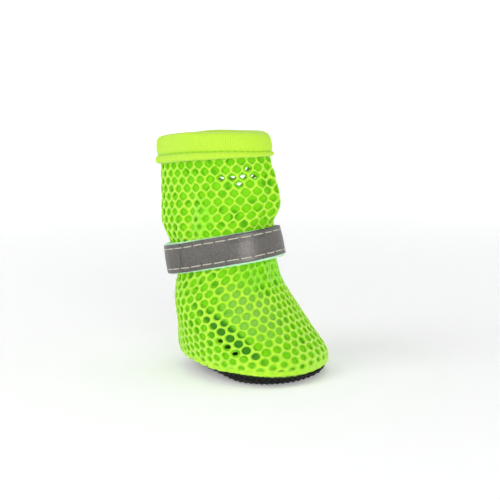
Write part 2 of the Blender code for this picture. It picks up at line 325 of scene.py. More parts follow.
def build_ground(name, places, around, low, high, windows):
    """Fine ground behind the net: closed over most holes, open where windows say."""
    place, rows = places
    edge, rim = hole_ring(0.0, 1 / 3, 12)
    steps = len(edge)
    verts, faces = [], []
    for row in range(1, rows):
        for number in range(around):
            column = number + 0.5 * (row % 2)
            angles, heights = place(column + edge[:, 0], row + edge[:, 1])
            if heights.max() <= low or heights.min() >= high:
                continue
            middle = smooth_upper(*place(np.array(column), np.array(float(row))))
            gap = windows(middle, number, row)
            start = len(verts)
            verts.extend(upper_cloth(angles, heights, -GROUND_DEPTH))
            if gap <= 0:
                faces.append(tuple(range(start, start + steps)))
                continue
            flattened = 1.0 if gap == WIDE_WINDOW else 0.7
            inner = rim * gap * (1.0, flattened) + off_centre(0.16, number, row, 5)
            angles, heights = place(column + inner[:, 0], row + inner[:, 1])
            verts.extend(upper_cloth(angles, heights, -GROUND_DEPTH))
            bridge(faces, start, 2, steps)
    return make_piece(name, verts, faces)


class Shade:
    """A shader value that can be used in plain sums."""

    def __init__(self, finish, socket):
        self.finish = finish
        self.socket = socket

    def maths(self, operation, first, second, clamped=False):
        settings = {"operation": operation, "use_clamp": clamped}
        return self.finish.node("ShaderNodeMath", settings, {0: first, 1: second})

    def __add__(self, other):
        return self.maths("ADD", self, other)

    def __radd__(self, other):
        return self.maths("ADD", other, self)

    def __sub__(self, other):
        return self.maths("SUBTRACT", self, other)

    def __rsub__(self, other):
        return self.maths("SUBTRACT", other, self)

    def __mul__(self, other):
        return self.maths("MULTIPLY", self, other)

    def __rmul__(self, other):
        return self.maths("MULTIPLY", other, self)

    def __truediv__(self, other):
        return self.maths("DIVIDE", self, other)

    def __rtruediv__(self, other):
        return self.maths("DIVIDE", other, self)

    def __pow__(self, other):
        return self.maths("POWER", self, other)

    def held(self):
        """The value kept between 0 and 1."""
        return self.maths("ADD", self, 0.0, clamped=True)


class Finish:
    """One material, its nodes, and the surface that they dress."""

    def __init__(self, name, **constants):
        self.material = bpy.data.materials.new(name)
        self.material.use_nodes = True
        self.tree = self.material.node_tree
        self.surface = self.tree.nodes["Principled BSDF"]
        for socket, value in constants.items():
            self.surface.inputs[socket.replace("_", " ")].default_value = value

    def node(self, kind, settings=None, values=None, output=0):
        """Adds a node: its settings first, then the values or links of its sockets."""
        made = self.tree.nodes.new(kind)
        for key, value in (settings or {}).items():
            setattr(made, key, value)
        for key, value in (values or {}).items():
            if isinstance(value, Shade):
                self.tree.links.new(value.socket, made.inputs[key])
            else:
                made.inputs[key].default_value = value
        return Shade(self, made.outputs[output])

    def attribute(self, name):
        return self.node("ShaderNodeAttribute", {"attribute_name": name}, output="Fac")

    def place(self):
        """Position on the piece, in millimetres."""
        at = self.node("ShaderNodeTexCoord", output="Object")
        return self.node("ShaderNodeVectorMath", {"operation": "SCALE"}, {0: at, "Scale": 1000.0})

    def axes(self, at):
        """The three numbers of a place."""
        split = self.node("ShaderNodeSeparateXYZ", {}, {0: at})
        node = split.socket.node
        return [Shade(self, node.outputs[axis]) for axis in range(3)]

    def noise(self, at, scale, detail=2.0):
        return self.node("ShaderNodeTexNoise", {}, {"Vector": at, "Scale": scale, "Detail": detail})

    def bands(self, at, direction, scale, more=None):
        """Rows of stitches or threads, across the direction."""
        values = {"Vector": at, "Scale": scale, **(more or {})}
        return self.node("ShaderNodeTexWave", {"bands_direction": direction}, values, output="Fac")

    def mix(self, share, first, second):
        """One colour by share 0, the other by share 1."""
        return self.node("ShaderNodeMix", {"data_type": "RGBA"}, {0: share, 6: first, 7: second}, output=2)

    def dress(self, **links):
        """Links values to the surface's sockets."""
        for socket, value in links.items():
            self.tree.links.new(value.socket, self.surface.inputs[socket.replace("_", " ")])

    def bump(self, height, strength, distance):
        values = {"Height": height, "Strength": strength, "Distance": distance}
        self.dress(Normal=self.node("ShaderNodeBump", {}, values, output="Normal"))

    def on(self, *pieces):
        for piece in pieces:
            piece.data.materials.clear()
            piece.data.materials.append(self.material)


def paint(red, green, blue):
    """Screen colour from 0 to 255 as the shader's colour."""
    parts = [value / 255 for value in (red, green, blue)]
    parts = [part / 12.92 if part <= 0.04045 else ((part + 0.055) / 1.055) ** 2.4 for part in parts]
    return (*parts, 1.0)


def mesh_knit():
    """Lime yarn with fine stitches: painted highlight on the strands' crests, painted shade deeper towards
    the holes.
    It is greener on the instep and beside the ankle, dark with painted shade where the hem is hidden, and
    glows faintly as painted light."""
    # The yarn's faint emission is painted light.
    finish = Finish(
        "lime_air_mesh", Roughness=0.62, Sheen_Weight=0.25, Sheen_Roughness=0.5,
        Specular_IOR_Level=0.2, Emission_Color=paint(150, 235, 0), Emission_Strength=0.07,
    )
    at = finish.place()
    crest = finish.attribute("dent")
    patches = finish.noise(at, 0.11, 3.0)
    # Painted highlight on the crests, painted shade towards the holes.
    strands = finish.mix(crest, paint(122, 202, 0), paint(210, 252, 62))
    deeper = finish.mix((patches * 1.4 - 0.45).held(), strands, paint(154, 231, 10))
    x, _, z = finish.axes(at)
    instep = (1.2 - ((x - 10.0) / 8.0) ** 2.0 - ((z - 38.0) / 7.0) ** 2.0).held()
    ankle = (1.1 - ((x + 12.0) / 6.0) ** 2.0 - ((z - 57.0) / 9.0) ** 2.0).held()
    deeper = finish.mix((instep + ankle) * 0.55, deeper, paint(112, 222, 0))
    fleck = finish.noise(at, 1.3, 2.0)
    lime = finish.mix((fleck * 2.2 - 1.15).held(), deeper, paint(206, 248, 78))
    # Painted shade darkens the hem's hidden inner side.
    finish.dress(Base_Color=finish.mix((crest * -1.0).held(), lime, paint(24, 34, 12)))
    uneven = {"Distortion": 5.0, "Detail": 1.0, "Detail Scale": 1.5}
    loops = finish.bands(at, "DIAGONAL", 0.62, uneven)
    finish.bump(loops * 0.7 + fleck * 0.6, 0.8, 0.0003)
    return finish


def ground_knit():
    """Finer ground behind the holes: lime, paler over the vamp with painted light and darker above the
    sole with painted shade.
    """
    # The ground's faint emission is painted light.
    finish = Finish(
        "lime_ground", Roughness=0.8, Specular_IOR_Level=0.2,
        Emission_Color=paint(120, 215, 0), Emission_Strength=0.05,
    )
    at = finish.place()
    x, y, z = finish.axes(at)
    side = x * 0.866 - finish.node("ShaderNodeMath", {"operation": "ABSOLUTE"}, {0: y}) * 0.5
    cloud = finish.noise(at, 0.35)
    # Random darker patches are painted shade seen in some holes.
    shade = (finish.noise(at, 0.26, 0.0) * 7.0 - 4.1).held()
    plain = finish.mix(cloud, paint(104, 190, 0), paint(136, 218, 4))
    lime = finish.mix(shade * 0.75, plain, paint(58, 150, 2))
    # A long pale patch of painted light, as if coming through the far wall, slopes over the vamp, and a
    # darker band of painted shade lies behind it, above the sole.
    along = (side - 1.0) * 0.82 - (z - 25.0) * 0.57
    across = (side - 1.0) * 0.57 + (z - 25.0) * 0.82
    pale = (1.15 - (along / 15.0) ** 2.0 - (across / 7.5) ** 2.0).held()
    mottled = finish.mix(pale * (cloud * 0.9 + 0.45), lime, paint(140, 194, 76))
    band = (z - 17.4 + (side + 6.0) * 0.72) / 3.6
    dark = (1.2 - band ** 2.0 - ((side + 7.0) / 13.0) ** 2.0).held()
    finish.dress(Base_Color=finish.mix((dark * 1.4).held(), mottled, paint(52, 122, 24)))
    finish.bump(finish.noise(at, 3.0), 0.5, 0.0002)
    return finish


NET_THICKNESS, GROUND_DEPTH = 1.1, 0.8
SHAFT_HOLES, FOOT_HOLES = 28, 36
FOOT_LOW = HEM + 0.25
SHAFT_ROWS = net_places(
    SHAFT_HOLES, pitch=4.35, row_gap=2.85, climb=0.10, lowest=STRAP_MIDDLE, highest=SHAFT_TOP
)
FOOT_ROWS = net_places(
    FOOT_HOLES, pitch=4.45, row_gap=3.0, climb=0.34, lowest=FOOT_LOW, highest=STRAP_MIDDLE
)

# Openings of the ground, as shares of a hole: placed ones, rare ones, and the left side's field.
WINDOW, RARE_WINDOW, WIDE_WINDOW = 0.56, 0.3, 0.95


def placed_window(x, z, spots, reach):
    """Opening of a hole that lies near one of the spots."""
    near = min(math.hypot(x - across, z - up) for across, up in spots)
    return WINDOW if near < reach else 0.0


def rare_window(number, row):
    """Opening of one hole in 25."""
    return RARE_WINDOW if unevenness(number, row, 9) < 0.04 else 0.0


def shaft_windows(middle, number, row):
    """Holes of the shaft that can be seen through, mostly high on its sides."""
    x, y, z = middle
    if y < 0:
        spots = ((-3.7, 72.5), (-0.6, 73.6), (3.5, 73.6), (6.2, 73.8), (4.5, 75.8), (1.5, 69.7))
        return placed_window(x, z, spots, 1.9)
    if -20 < x < -1 and 64 < z < 77:
        return WIDE_WINDOW
    return rare_window(number, row)


def foot_windows(middle, number, row):
    """Holes of the foot whose ground is open, so the dark inside shows."""
    x, y, z = middle
    if y < 0:
        return placed_window(x, z, ((1.6, 16.3), (4.3, 14.5), (7.4, 13.0)), 1.7)
    return rare_window(number, row)


shaft_net = build_net(
    "shaft_net", SHAFT_ROWS, SHAFT_HOLES, STRAP_MIDDLE, SHAFT_TOP,
    squareness=0.42, upright=0.21, open_share=0.69,
)
foot_net = build_net(
    "foot_net", FOOT_ROWS, FOOT_HOLES, FOOT_LOW, STRAP_MIDDLE,
    squareness=0.10, upright=0.31, open_share=0.66,
)
shaft_ground = build_ground(
    "shaft_ground", SHAFT_ROWS, SHAFT_HOLES, STRAP_MIDDLE, SHAFT_TOP, shaft_windows
)
foot_ground = build_ground("foot_ground", FOOT_ROWS, FOOT_HOLES, FOOT_LOW, STRAP_MIDDLE, foot_windows)

# The sole's plan and turned-up edge, which the mesh's lower edge is sewn to.
SOLE_SHIFT, SOLE_LENGTH, SOLE_WIDTH, SOLE_EGG = 0.8, 54.4, 45.4, 0.30
SOLE_THICKNESS = 1.6


def heel_rise(angle):
    """From 0 at the sole's front half to 1 round its heel, where the cloth curls up more."""
    share = np.clip((from_toe(angle) - 1.26) / 0.6, 0, 1)
    return share * share * (3 - 2 * share)


def edge_turn(angle):
    """Width of the sole's turned-up edge."""
    return 3.6 + 7.4 * ((1 - np.cos(angle)) / 2) ** 2 + 3.5 * heel_rise(angle)


def sole_face(angle, inset, lift):
    """Point over the sole's plan, inset from its edge, lift above its under face."""
    x = SOLE_SHIFT + (SOLE_LENGTH / 2 - inset) * np.cos(angle)
    y = (SOLE_WIDTH / 2 - inset) * np.sin(angle + SOLE_EGG * np.sin(angle))
    curl = 3.0 * np.sin(angle) ** 2 + np.where(np.cos(angle) > 0, 1.4, 3.8) * np.cos(angle) ** 2
    curl = curl + 1.4 * heel_rise(angle)
    turned = np.maximum(1 - inset / edge_turn(angle), 0.0) ** 1.6
    return np.stack([x, y, curl * turned + lift], axis=-1)


def loft(rings, closed=True):
    """Points and faces of a tube through like rings, back to the first ring if it is closed."""
    verts = [point for ring in rings for point in ring]
    count = len(rings[0])
    faces = []
    bridge(faces, 0, len(rings), count)
    if closed:
        last = len(verts) - count
        for step in range(count):
            beside = (step + 1) % count
            faces.append((last + step, last + beside, beside, step))
    return verts, faces


def close_ends(verts, faces, count):
    """Adds the faces at both ends of a tube of rings with that many points."""
    last = len(verts) - count
    faces.append(tuple(reversed(range(count))))
    faces.append(tuple(range(last, last + count)))


def build_hem():
    """Lower edge of the mesh, rolled under and sewn to the sole, with small knots of thread."""
    angle = np.linspace(0, 2 * math.pi, 360, endpoint=False)
    knots = 0.20 * np.sin(36 * angle + 0.5) + 0.12 * np.sin(67 * angle) + 0.07 * np.sin(113 * angle + 1.0)
    rings = [
        upper_cloth(angle, 6.6, -0.5 + knots),
        upper_cloth(angle, 6.1, -0.05 + knots),
        upper_cloth(angle, 5.6, 0.12 + knots),
        upper_cloth(angle, 5.2, 0.0 + 1.4 * knots),
        sole_face(angle, 0.2, SOLE_THICKNESS + 0.25 + 0.8 * knots),
        sole_face(angle, 2.2, SOLE_THICKNESS + 0.2),
        sole_face(angle, 4.6, SOLE_THICKNESS + 0.2),
        sole_face(angle, 4.6, SOLE_THICKNESS + 0.8),
        sole_face(angle, 2.2, SOLE_THICKNESS + 1.0),
        upper_cloth(angle, 6.3, -1.2),
        upper_cloth(angle, 6.6, -1.1),
    ]
    verts, faces = loft(rings)
    seen = 5
    # The hidden inner rings are marked -1, which the yarn's finish paints dark as painted shade.
    crests = [0.75] * (seen * len(angle)) + [-1.0] * ((len(rings) - seen) * len(angle))
    return make_piece("hem", verts, faces, crests)


hem = build_hem()
knit = mesh_knit()
knit.on(shaft_net, foot_net, hem)
ground_knit().on(shaft_ground, foot_ground)
for piece in (shaft_net, foot_net, hem, shaft_ground, foot_ground):
    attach(piece, "root")
    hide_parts("upper")

# ----------------------------------------------------------------------------------------
# Cuff: a band of pale lime rib knit, folded over the collar's edge and stitched through, so
# that its lower edge rolls out below a dark stitched groove. Its ribs run up and down.
CUFF_RIBS, CUFF_DASHES = 150, 50
CUFF_STITCH = SHAFT_TOP


def build_cuff():
    """The band as a closed ring, from its inner edge over the fold to its rolled hem."""
    angle = np.linspace(0, 2 * math.pi, CUFF_RIBS * 4, endpoint=False)
    rib = np.cos(angle * CUFF_RIBS)
    # Height, distance out from the upper, and how far the ribs show.
    profile = (
        (79.5, -1.5, 0.0), (79.3, -2.1, 0.3), (79.5, -2.7, 1.0), (82.0, -2.75, 1.0), (84.5, -2.75, 1.0),
        (86.3, -2.7, 1.0), (87.2, -2.35, 1.0), (87.75, -1.6, 1.0), (87.95, -0.7, 1.0), (87.8, 0.2, 1.0),
        (87.3, 0.95, 1.0), (86.5, 1.35, 1.0), (85.2, 1.5, 1.0), (83.6, 1.55, 1.0), (82.2, 1.5, 1.0),
        (81.2, 1.42, 0.9), (80.6, 1.25, 0.6), (80.2, 0.98, 0.2), (79.95, 0.92, 0.1), (79.7, 1.1, 0.3),
        (79.4, 1.55, 0.8), (78.9, 1.85, 1.0), (78.2, 1.95, 1.0), (77.5, 1.85, 1.0), (77.0, 1.5, 0.9),
        (76.75, 1.0, 0.6), (76.85, 0.45, 0.2), (77.4, 0.3, 0.0), (80.0, 0.3, 0.0), (86.4, 0.3, 0.0),
        (86.5, -0.6, 0.0), (86.4, -1.5, 0.0),
    )
    turned = from_toe(angle)
    in_front = np.clip(np.cos(angle), 0, 1) ** 2
    # The fold dips at the front and back and crowns over the sides.
    ends = np.abs(np.cos(angle)) ** 8
    crown = 0.25 + 0.7 * np.exp(-(((turned - 1.75) / 0.45) ** 2))
    # The groove climbs towards the back, and the hem below it is narrower in front.
    raised = 0.9 + 0.5 * np.cos(2 * turned - 2.6) - 0.8 * np.cos(angle)
    squeeze = 0.35 + 0.8 * in_front
    stitch = 0.35 + 0.65 * (0.5 + 0.5 * np.cos(CUFF_DASHES * angle))
    sway = 0.22 * np.sin(3 * angle + 0.6) + 0.14 * np.sin(7 * angle + 2.0)
    rings, dents = [], []
    for height, out, ribbed in profile:
        on_upper = min(height, COLLAR_EDGE)
        drop = np.clip((height - 82.0) / 6.0, 0, 1) ** 2 * (1.4 * ends - crown)
        lift = raised + squeeze * max(79.7 - height, 0.0) / 3.0
        level = height - on_upper - drop + 0.3 * sway * (out > 0)
        level = level + lift * (out > 0.25) * (height < 82.5)
        points = smooth_upper(angle, np.full_like(angle, on_upper))
        outward = upper_cloth(angle, on_upper, 1.0) - upper_cloth(angle, on_upper, 0.0)
        slim = 0.6 * in_front if height < 79.6 and out > 0.9 else 0.0
        ribs = ribbed * (0.07 * rib + 0.6 * sway * (out > 0))
        points = points + outward * (out - slim + ribs)[:, None]
        points[:, 2] += level
        rings.append(points)
        groove = math.exp(-(((height - CUFF_STITCH) / 0.25) ** 2)) if out > 0.8 else 0.0
        # How far each rib shows also sets the painted shade between the ribs.
        shown = ribbed * (0.5 + 0.5 * rib) * (1 - groove)
        dents.extend(shown if groove < 0.3 else -groove * stitch)
    return make_piece("ribbed_cuff", *loft(rings), dents)


def rib_knit():
    """Pale lime rib knit, with painted shade between its ribs, dark in the stitched groove, and a faint
    glow of painted light.
    """
    # The cuff's faint emission is painted light.
    finish = Finish(
        "lime_rib_knit", Roughness=0.78, Sheen_Weight=0.3, Sheen_Roughness=0.5,
        Specular_IOR_Level=0.2, Emission_Color=paint(190, 250, 60), Emission_Strength=0.08,
    )
    at = finish.place()
    rib = finish.attribute("dent")
    # Painted shade between the ribs.
    ribbed = finish.mix((rib * 0.8 + 0.1).held(), paint(157, 206, 28), paint(193, 224, 70))
    patches = (finish.noise(at, 0.16, 3.0) * 1.6 - 0.6).held()
    mottled = finish.mix(patches, ribbed, paint(174, 215, 50))
    finish.dress(Base_Color=finish.mix((rib * -1.0).held(), mottled, paint(108, 170, 14)))
    finish.bump(finish.noise(at, 2.6) * 0.5 + rib * 0.4, 0.4, 0.00025)
    return finish


cuff = build_cuff()
rib_knit().on(cuff)
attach(cuff, "root")
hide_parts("cuff")

# ----------------------------------------------------------------------------------------
# Strap: a grey reflective tape sewn on mint hook-and-loop tape with two rows of thick cream
# thread. It goes round the ankle and laps over its own start on the boot's left side.
STRAP_WIDTH = 10.4
STRAP_ROUND, STRAP_LAP, STRAP_STEP = 113.4, 15.0, 8.0
STRAP_LAP_ANGLE = 2 * math.pi * STRAP_LAP / STRAP_ROUND
STRAP_STEP_ANGLE = 2 * math.pi * STRAP_STEP / STRAP_ROUND
STRAP_SQUARENESS = 2 / 2.3
STITCH_ROW, STITCH_LENGTH, STITCH_GAP = 3.65, 4.6, 0.3


def strap_face(angle, height, out):
    """Point of the strap's ring: its sides lie on the ankle and its ends stand off."""
    centre, half_length, _, _, lean = section(STRAP_MIDDLE)
    half_width = section(height)[2]
    cosine, sine = np.cos(angle), np.sin(angle)
    behind = 0.8 * (cosine < 0) * np.abs(cosine)
    along = (half_length + 1.2 + behind + out) * np.sign(cosine) * np.abs(cosine) ** STRAP_SQUARENESS
    across = (half_width + 0.3 + out) * np.sign(sine) * np.abs(sine) ** STRAP_SQUARENESS
    tipped = centre + (STRAP_MIDDLE - height) * lean
    return np.stack([tipped + along, across + 0 * along, height + lean * along], axis=-1)


def build_backing():
    """Loop tape under the reflective tape, a little wider and lower, with a soft edge."""
    angle = np.linspace(0, 2 * math.pi, 240, endpoint=False)
    low = STRAP_MIDDLE - STRAP_WIDTH / 2 - 0.7
    width, drawn_width = STRAP_WIDTH + 0.8, 11.2
    nap = 0.07 * np.sin(41 * angle) + 0.05 * np.sin(97 * angle + 1)
    slant = 0.2 - 0.3 * np.cos(angle)
    profile = (
        (0.0, 0.1), (0.0, 0.45), (0.25, 0.8), (1.2, 0.85), (5.5, 0.85),
        (10.0, 0.85), (10.95, 0.8), (11.2, 0.45), (11.2, 0.1), (5.5, 0.0),
    )
    rings = []
    for up, out in profile:
        fuzz = nap * (up < 1 or up > 10.5)
        rings.append(strap_face(angle, low + slant + up * width / drawn_width + fuzz, out))
    return make_piece("loop_tape", *loft(rings))


def tape_rise(turned):
    """How far the tape stands over the backing: more where it laps over its start."""
    climb = np.clip((turned - 2 * math.pi + STRAP_STEP_ANGLE) / STRAP_STEP_ANGLE, 0, 1)
    return 0.95 + 0.8 * climb * climb * (3 - 2 * climb)


TAPE_START = math.radians(90) - STRAP_LAP_ANGLE / 2
TAPE_SWEEP = 2 * math.pi + STRAP_LAP_ANGLE
# One sharp crease across the tape on the boot's right side, and the line of painted shade along it.
TAPE_CREASE, CREASE_WIDTH, CREASE_LINE = 3.20, 0.02, 0.018


def tape_face(turned, up, out):
    """Point on the tape: turned from its start, up from its middle, out from its back."""
    sway = 0.10 * np.sin(5 * turned + 1.0) + 0.07 * np.sin(11 * turned)
    crease = 0.2 * np.exp(-(((turned - TAPE_CREASE) / CREASE_WIDTH) ** 2))
    raised = tape_rise(turned) + out + 0.3 * sway - crease
    return strap_face(TAPE_START + turned, STRAP_MIDDLE + up + 0.5 * sway, raised)


def build_tape():
    """Reflective tape with soft edges, two shallow grooves for its stitches, and closed ends."""
    half = STRAP_WIDTH / 2
    profile = (
        (-half + 0.1, 0.0), (-half, 0.15), (-half + 0.06, 0.36), (-half + 0.4, 0.47), (-4.1, 0.47),
        (-STITCH_ROW, 0.40), (-3.2, 0.50), (-1.6, 0.54), (0.0, 0.55), (1.6, 0.54), (3.2, 0.50),
        (STITCH_ROW, 0.40), (4.1, 0.47), (half - 0.4, 0.47), (half - 0.06, 0.36), (half, 0.15),
        (half - 0.1, 0.0), (0.0, 0.0),
    )
    turned = np.linspace(0, TAPE_SWEEP, 520)
    lines = [tape_face(turned, up, out) for up, out in profile]
    verts, faces = loft(np.stack(lines, axis=1), closed=False)
    count = len(profile)
    last = len(verts) - count
    faces.append(tuple(range(count)))
    faces.append(tuple(reversed(range(last, last + count))))
    # The dent value marks the crease's painted shade along the tape.
    dents = np.repeat(np.exp(-(((turned - TAPE_CREASE) / CREASE_LINE) ** 2)), count)
    return make_piece("reflective_tape", verts, faces, dents)


def build_stitches():
    """Two rows of long thread stitches, each rounded and sunk at both ends."""
    fine = np.linspace(0, TAPE_SWEEP, 2000)
    run = tape_face(fine, 0.0, 0.5)
    lengths = np.concatenate([[0], np.cumsum(np.linalg.norm(np.diff(run, axis=0), axis=1))])
    stations, corners = 9, 6
    verts, faces = [], []
    for up, start in ((STITCH_ROW, 0.4), (-STITCH_ROW, 1.9)):
        number = 0
        while start < lengths[-1] - 2.0:
            size = STITCH_LENGTH * (0.88 + 0.24 * unevenness(number, up, 4))
            end = min(start + size, lengths[-1] - 0.5)
            first = len(verts)
            for station in range(stations):
                share = station / (stations - 1)
                turned = np.interp(start + (end - start) * share, lengths, fine)
                plump = (1 - abs(2 * share - 1) ** 6) ** 0.5
                lift = 0.28 + 0.26 * plump
                slant = 0.10 * (unevenness(number, up, 7) - 0.5) * (2 * share - 1)
                for corner in range(corners):
                    round_it = 2 * math.pi * corner / corners
                    wide = 0.20 * (0.35 + 0.65 * plump) * math.cos(round_it)
                    high = 0.15 * plump * math.sin(round_it)
                    place = np.array(up + slant + wide), np.array(lift + high)
                    verts.append(tape_face(np.array(turned), *place))
            bridge(faces, first, stations, corners)
            number += 1
            start += size + STITCH_GAP
    return make_piece("strap_stitches", verts, faces)


def tape_finish():
    """Grey cloth tape under tiny glass beads: satin, bright where it bends, with painted shade in its
    crease. The beads' pale specks are partly their own silver and partly painted glints.
    """
    finish = Finish("grey_reflective", Metallic=0.65, Specular_IOR_Level=0.6)
    at = finish.place()
    cloud = finish.noise(at, 0.12, 3.0)
    grey = finish.mix((cloud * 1.5 - 0.25).held(), paint(64, 61, 57), paint(80, 77, 73))
    beads = finish.noise(at, 4.0, 1.0)
    # Pale bead specks: the beads' own silver, and partly painted glints.
    beaded = finish.mix((beads * 1.6 - 0.55).held(), grey, paint(150, 147, 144))
    # Painted shade along the crease.
    finish.dress(Base_Color=finish.mix(finish.attribute("dent") * 0.5, beaded, paint(44, 41, 38)))
    finish.dress(Roughness=beads * 0.22 + cloud * 0.08 + 0.25)
    weave = finish.bands(at, "Z", 0.9)
    finish.bump(beads * 0.5 + weave * 0.3, 0.25, 0.00015)
    return finish


def loop_finish():
    """Matt mint loop pile."""
    finish = Finish("mint_loop_tape", Roughness=0.92, Sheen_Weight=0.4, Specular_IOR_Level=0.15)
    at = finish.place()
    pile = finish.noise(at, 2.2, 3.0)
    mint = finish.mix((pile * 1.8 - 0.4).held(), paint(160, 228, 172), paint(218, 251, 225))
    finish.dress(Base_Color=mint)
    finish.bump(pile, 0.8, 0.0005)
    return finish


def thread_finish():
    """Cream thread with a slight twist."""
    finish = Finish("cream_thread", Roughness=0.6, Sheen_Weight=0.2)
    at = finish.place()
    twist = finish.bands(at, "DIAGONAL", 1.0, {"Distortion": 1.0})
    cream = finish.mix((twist * 0.7).held(), paint(186, 181, 164), paint(216, 211, 192))
    finish.dress(Base_Color=cream)
    finish.bump(twist, 0.5, 0.00015)
    return finish


backing, tape, stitches = build_backing(), build_tape(), build_stitches()
loop_finish().on(backing)
tape_finish().on(tape)
thread_finish().on(stitches)
for piece, node, slot in (
    (backing, "strap_backing", "hook_and_loop"),
    (tape, "strap", "reflective_tape"),
    (stitches, "strap", "reflective_tape"),
):
    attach(piece, "root")
    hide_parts(node)

# ----------------------------------------------------------------------------------------
# Heel tapes: two plain lime knit tapes sewn over the back seam's allowances, one on each
# side, from the sole's edge to 2 mm below the strap. They are thin, finely ribbed along
# their length, and lie flat on the mesh with soft edges.
SEAM_GAP, RIBBON_WIDTH, RIBBON_LOW, RIBBON_HIGH, RIBBON_RIB = 2.4, 5.8, 5.2, 36.5, 0.95


def build_heel_tape(name, side):
    """Ribbed tape beside the seam: sections across it, joined up the heel."""
    across = np.linspace(0.15, RIBBON_WIDTH - 0.15, 37)
    ribs = 0.05 * np.cos(across * 2 * math.pi / RIBBON_RIB)
    face = 0.48 + ribs - 0.12 * (2 * across / RIBBON_WIDTH - 1) ** 6
    offs = np.concatenate([[0.25, 0.0], across, [RIBBON_WIDTH, RIBBON_WIDTH - 0.25]])
    outs = np.concatenate([[-0.4, 0.15], face, [0.15, -0.4]])
    rings, dents = [], []
    for height in np.linspace(RIBBON_LOW, RIBBON_HIGH, 60):
        _, _, half_width, egg, _ = section(height)
        sway = 0.10 * math.sin(0.7 * height + side) + 0.06 * math.sin(2.3 * height)
        reach = np.minimum((SEAM_GAP / 2 + offs + sway) / (half_width * (1 - egg)), 0.9)
        angle = math.pi - side * np.arcsin(reach)
        ring = upper_cloth(angle, np.full_like(reach, height), outs + 0.4 * sway)
        rings.append(ring if side > 0 else ring[::-1])
        # The rib value also sets the painted shade between the ribs.
        dents.extend(0.5 + 0.5 * np.cos(offs * 2 * math.pi / RIBBON_RIB))
    verts, faces = loft(rings, closed=False)
    close_ends(verts, faces, len(offs))
    return make_piece(name, verts, faces, dents)


def tape_knit():
    """Plain lime knit with fine rows, and painted shade between its ribs and rows."""
    finish = Finish("lime_knit_tape", Roughness=0.8, Sheen_Weight=0.25, Specular_IOR_Level=0.2)
    at = finish.place()
    rows = finish.bands(at, "Z", 0.5, {"Distortion": 0.6})
    rib = finish.attribute("dent")
    cloud = finish.noise(at, 0.3)
    lime = finish.mix((cloud * 1.4 - 0.2).held(), paint(146, 220, 22), paint(180, 240, 56))
    # Painted shade between the ribs and along the rows.
    deep = (rows * 0.5 + 0.35 - rib * 0.5).held()
    finish.dress(Base_Color=finish.mix(deep, lime, paint(112, 190, 6)))
    finish.bump(rows * 0.6 + finish.noise(at, 3.0) * 0.5, 0.5, 0.0003)
    return finish


heel_knit = tape_knit()
for side, name, node in (
    (1, "left_heel_ribbon", "heel_tape_left"),
    (-1, "right_heel_ribbon", "heel_tape_right"),
):
    ribbon = build_heel_tape(name, side)
    heel_knit.on(ribbon)
    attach(ribbon, "root")
    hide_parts(node)

# ----------------------------------------------------------------------------------------
# Insole: a thin liner of black felt, cut smaller than the sole and laid on it inside the
# foot. It is plain and hidden, so it keeps its solid.


def felt():
    """Black felt with short matted hairs."""
    finish = Finish("black_felt", Roughness=0.95, Sheen_Weight=0.3, Specular_IOR_Level=0.1)
    at = finish.place()
    hairs = finish.noise(at, 1.6, 4.0)
    black = finish.mix((hairs * 1.6 - 0.3).held(), paint(14, 14, 14), paint(44, 44, 42))
    finish.dress(Base_Color=black)
    finish.bump(hairs, 0.7, 0.0004)
    return finish


felt().on(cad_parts["insole"])

# ----------------------------------------------------------------------------------------
# Sole: black textile pressed with staggered rows of small glossy rubber dots, cut to an egg
# and turned up round its edge. The boot stands on the dots under its flat middle.
DOT_PITCH, DOT_ROW, DOT_RADIUS, DOT_HEIGHT, DOT_MARGIN = 2.2, 1.9, 0.66, 0.3, 0.55


def sole_inset(x, y):
    """How far a place in the sole's plan lies in from its edge, found by halving."""
    low, high = 0.0, SOLE_WIDTH / 2 - 0.2
    for _ in range(24):
        inset = (low + high) / 2
        cosine = (x - SOLE_SHIFT) / (SOLE_LENGTH / 2 - inset)
        inside = abs(cosine) < 1
        if inside:
            at = math.acos(cosine)
            inside = (SOLE_WIDTH / 2 - inset) * math.sin(at + SOLE_EGG * math.sin(at)) > abs(y)
        low, high = (inset, high) if inside else (low, inset)
    return low


def sole_underside(angle, inset):
    """Point and outward direction of the sole's under face."""
    here, ahead, behind, further, nearer = (
        sole_face(angle + turn, inset + way_in, DOT_HEIGHT)
        for turn, way_in in ((0, 0), (0.01, 0), (-0.01, 0), (0, 0.01), (0, -0.01))
    )
    down = np.cross(ahead - behind, further - nearer)
    down = down / np.linalg.norm(down)
    return here, -down if down[2] > 0 else down


def add_dot(verts, faces, dents, middle, outward):
    """One low rubber dome, standing on the cloth."""
    across = np.cross(outward, (0.35, 0.1, 0.93))
    across /= np.linalg.norm(across)
    forward = np.cross(across, outward)
    rings, corners = ((1.0, -0.06), (0.86, 0.13), (0.5, 0.25)), 10
    first = len(verts)
    for share, rise in rings:
        reach = DOT_RADIUS * share
        for corner in range(corners):
            turned = 2 * math.pi * corner / corners
            verts.append(
                middle
                + across * reach * math.cos(turned)
                + forward * reach * math.sin(turned)
                + outward * rise
            )
    bridge(faces, first, len(rings), corners)
    top = len(verts)
    verts.append(middle + outward * DOT_HEIGHT)
    for corner in range(corners):
        faces.append((top - corners + corner, top - corners + (corner + 1) % corners, top))
    dents.extend([1.0] * (len(verts) - first))


